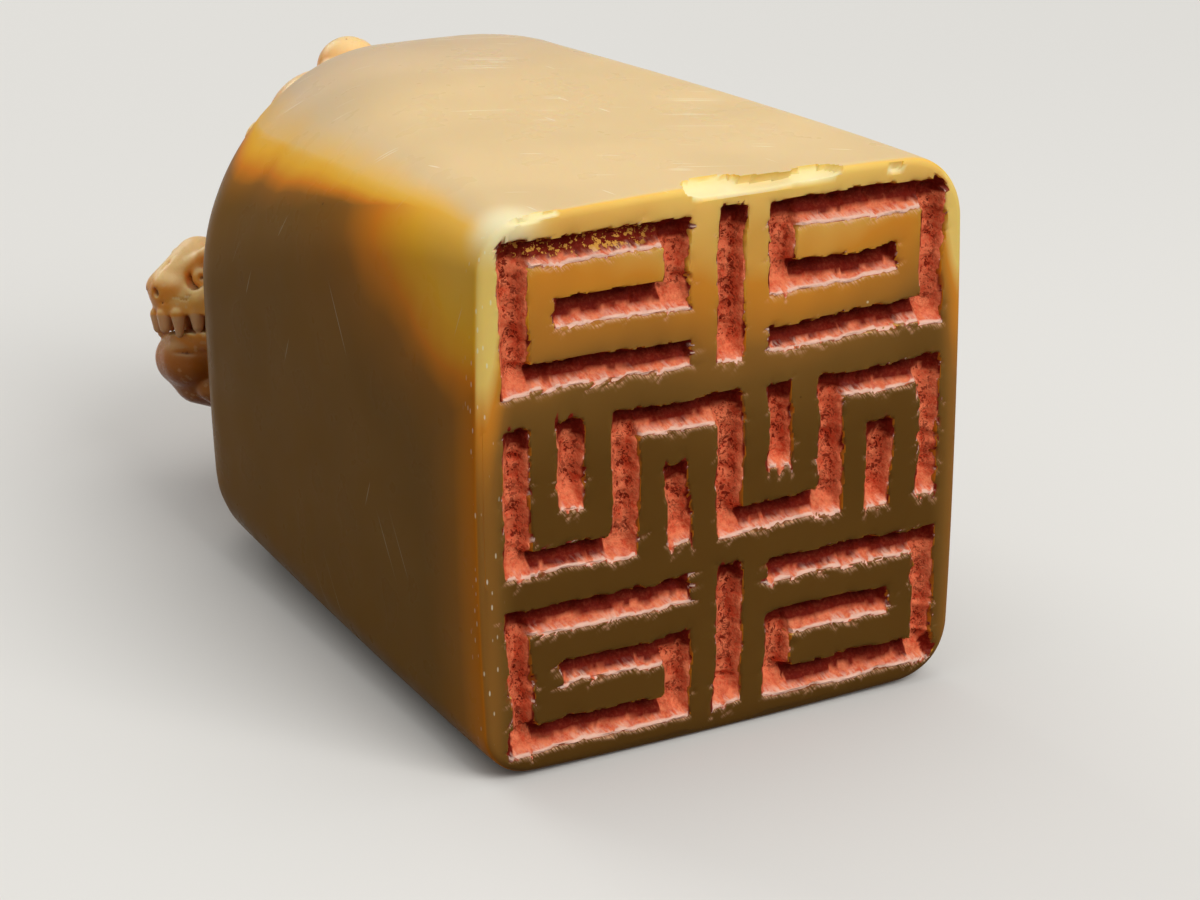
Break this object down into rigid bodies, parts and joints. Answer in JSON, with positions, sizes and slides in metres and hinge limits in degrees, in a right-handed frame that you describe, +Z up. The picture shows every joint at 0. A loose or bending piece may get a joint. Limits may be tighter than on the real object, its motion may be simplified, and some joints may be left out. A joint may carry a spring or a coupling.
{
  "type": "seal stamp",
  "caption": "Hand-held stone seal stamp: squarish block with rounded shoulders, an engraved fret on its stamping face, and a carved recumbent beast as its handle.",
  "frame": {"origin": "on the plane that the seal lies on, at the middle of the width and of the whole length", "axes": "+Y from the engraved seal face to the carved knob, +Z up from the side that it lies on, +X to the right seen from the seal face"},
  "size_m": [0.0292, 0.0536, 0.0304],
  "materials": {
    "soapstone": "polished, waxy and translucent honey amber, paler where light enters",
    "carved_soapstone": "polished carving in orange amber, darker in the cuts",
    "cinnabar_paste": "dried matt vermilion paste, pitted, paler on its edges"
  },
  "bodies": {
    "root": {"stone_block": "soapstone", "beast_knob": "carved_soapstone", "upper_band_paste": "cinnabar_paste", "middle_band_paste": "cinnabar_paste", "lower_band_paste": "cinnabar_paste"}
  },
  "joints": []
}
